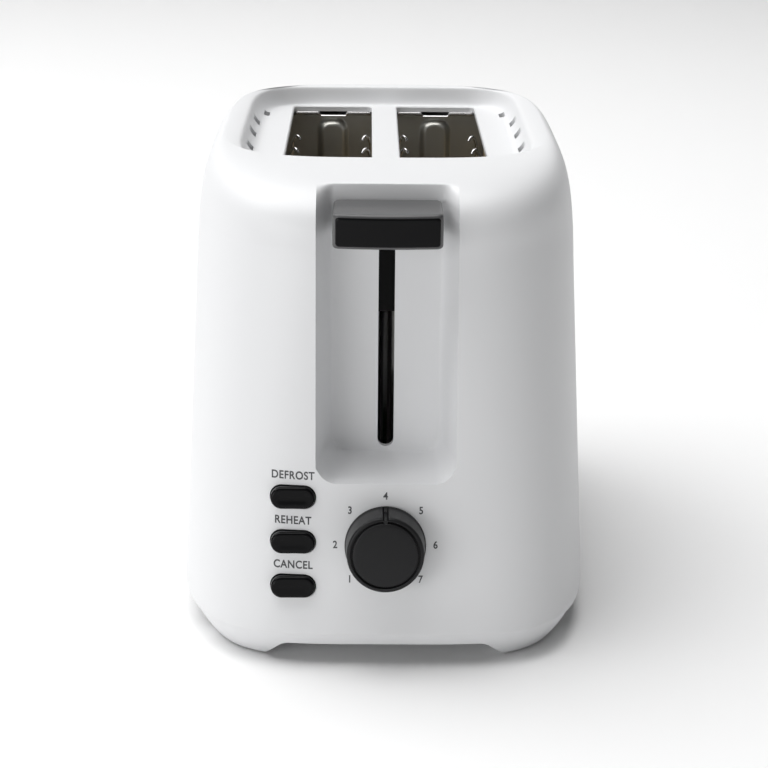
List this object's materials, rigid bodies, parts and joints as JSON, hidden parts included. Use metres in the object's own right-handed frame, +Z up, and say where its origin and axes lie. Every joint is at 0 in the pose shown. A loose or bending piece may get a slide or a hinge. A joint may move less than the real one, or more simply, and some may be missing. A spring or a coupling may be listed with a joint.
{
  "type": "pop-up toaster",
  "caption": "White pop-up toaster with side-by-side bread slots, an end lever in a recessed channel, a browning dial and push buttons.",
  "frame": {"origin": "bottom centre of the whole box, on the surface that the feet stand on", "axes": "+Z up, -Y towards the lever end, +Y towards the crumb tray end, +X to the right of someone facing the lever"},
  "size_m": [0.165, 0.2744, 0.185],
  "materials": {
    "white_shell": "satin white moulding with a fine grain",
    "black_moulding": "satin black moulding",
    "gloss_black": "polished black moulding",
    "steel": "bright pressed sheet",
    "chrome_wire": "plated wire",
    "mica": "mica board",
    "nichrome": "oxidised heater ribbon",
    "copper": "lacquered copper winding",
    "circuit_board": "green solder mask",
    "rubber": "matt"
  },
  "bodies": {
    "root": {"outer_housing": "white_shell", "base_tray": "white_shell", "foot_pad_front_left": "rubber", "foot_pad_front_right": "rubber", "foot_pad_rear_left": "rubber", "foot_pad_rear_right": "rubber", "base_screw_front_left": "steel", "base_screw_front_right": "steel", "base_screw_rear_left": "steel", "base_screw_rear_right": "steel", "front_plate": "steel", "rear_plate": "steel", "left_reflector": "steel", "right_reflector": "steel", "mica_card_left": "mica", "mica_card_centre": "mica", "mica_card_right": "mica", "heater_ribbon_left": "nichrome", "heater_ribbon_centre": "nichrome", "heater_ribbon_right": "nichrome", "bread_guard_left_outer": "chrome_wire", "bread_guard_left_inner": "chrome_wire", "bread_guard_right_outer": "chrome_wire", "bread_guard_right_inner": "chrome_wire", "guide_rod": "chrome_wire", "lift_spring": "steel", "magnet_core": "steel", "magnet_coil": "copper", "terminal_block": "black_moulding", "control_board": "circuit_board", "browning_pot": "black_moulding", "cancel_switch": "black_moulding", "reheat_switch": "black_moulding", "defrost_switch": "black_moulding", "cord_gland": "black_moulding"},
    "carriage": {"bread_lift_left": "steel", "bread_lift_right": "steel", "carriage_bracket": "steel", "carriage_slider": "black_moulding", "armature_plate": "steel", "lever_arm": "black_moulding", "lever_knob": "gloss_black"},
    "dial": {"dial_knob": "black_moulding", "dial_insert": "black_moulding", "dial_shaft": "steel"},
    "defrost_key": {"defrost_button": "gloss_black"},
    "reheat_key": {"reheat_button": "gloss_black"},
    "cancel_key": {"cancel_button": "gloss_black"},
    "crumb_drawer": {"crumb_tray": "steel", "crumb_tray_handle": "white_shell"}
  },
  "joints": [
    {"name": "lever_slide", "type": "slide", "parent": "root", "child": "carriage", "axis": [0, 0, -1], "range_m": [0, 0.076], "stiffness_N_per_m": 40, "springref_m": -0.06, "deforming": ["lift_spring"]},
    {"name": "dial_turn", "type": "hinge", "parent": "root", "child": "dial", "pos_m": [0, -0.12186, 0.0495], "axis": [0, -0.9943, 0.1069], "range_deg": [-135, 135]},
    {"name": "cancel_press", "type": "slide", "parent": "root", "child": "cancel_key", "axis": [0, 0.9943, -0.1069], "range_m": [0, 0.002], "stiffness_N_per_m": 400, "springref_m": -0.001},
    {"name": "reheat_press", "type": "slide", "parent": "root", "child": "reheat_key", "axis": [0, 0.9943, -0.1069], "range_m": [0, 0.002], "stiffness_N_per_m": 400, "springref_m": -0.001},
    {"name": "defrost_press", "type": "slide", "parent": "root", "child": "defrost_key", "axis": [0, 0.9943, -0.1069], "range_m": [0, 0.002], "stiffness_N_per_m": 400, "springref_m": -0.001},
    {"name": "crumb_tray_slide", "type": "slide", "parent": "root", "child": "crumb_drawer", "axis": [0, 1, 0], "range_m": [0, 0.18]}
  ]
}
